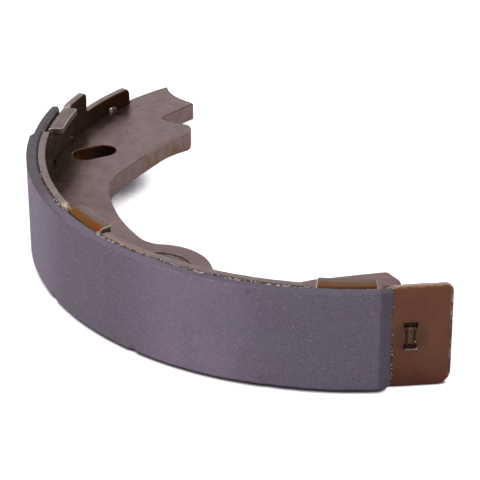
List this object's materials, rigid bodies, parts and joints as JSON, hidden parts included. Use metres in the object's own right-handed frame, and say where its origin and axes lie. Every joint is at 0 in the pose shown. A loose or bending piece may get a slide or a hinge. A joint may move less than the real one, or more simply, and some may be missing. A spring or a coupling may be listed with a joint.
{
  "type": "brake shoe",
  "caption": "Drum brake shoe: a bonded friction lining on a curved table with bent tabs, and a web with a boss, a long slot and a hooked nose.",
  "frame": {"origin": "on the drum's axis, in the middle plane of the web", "axes": "+Z along the drum's axis, +X towards the anchor end, and the middle of the lining faces -Y"},
  "size_m": [0.1763, 0.0971, 0.0304],
  "materials": {
    "web_steel": "satin",
    "table_steel": "satin",
    "friction_compound": "matt, ground",
    "adhesive": "matt"
  },
  "bodies": {
    "root": {"web": "web_steel", "table": "table_steel", "lining": "friction_compound", "adhesive_film": "adhesive"}
  },
  "joints": []
}
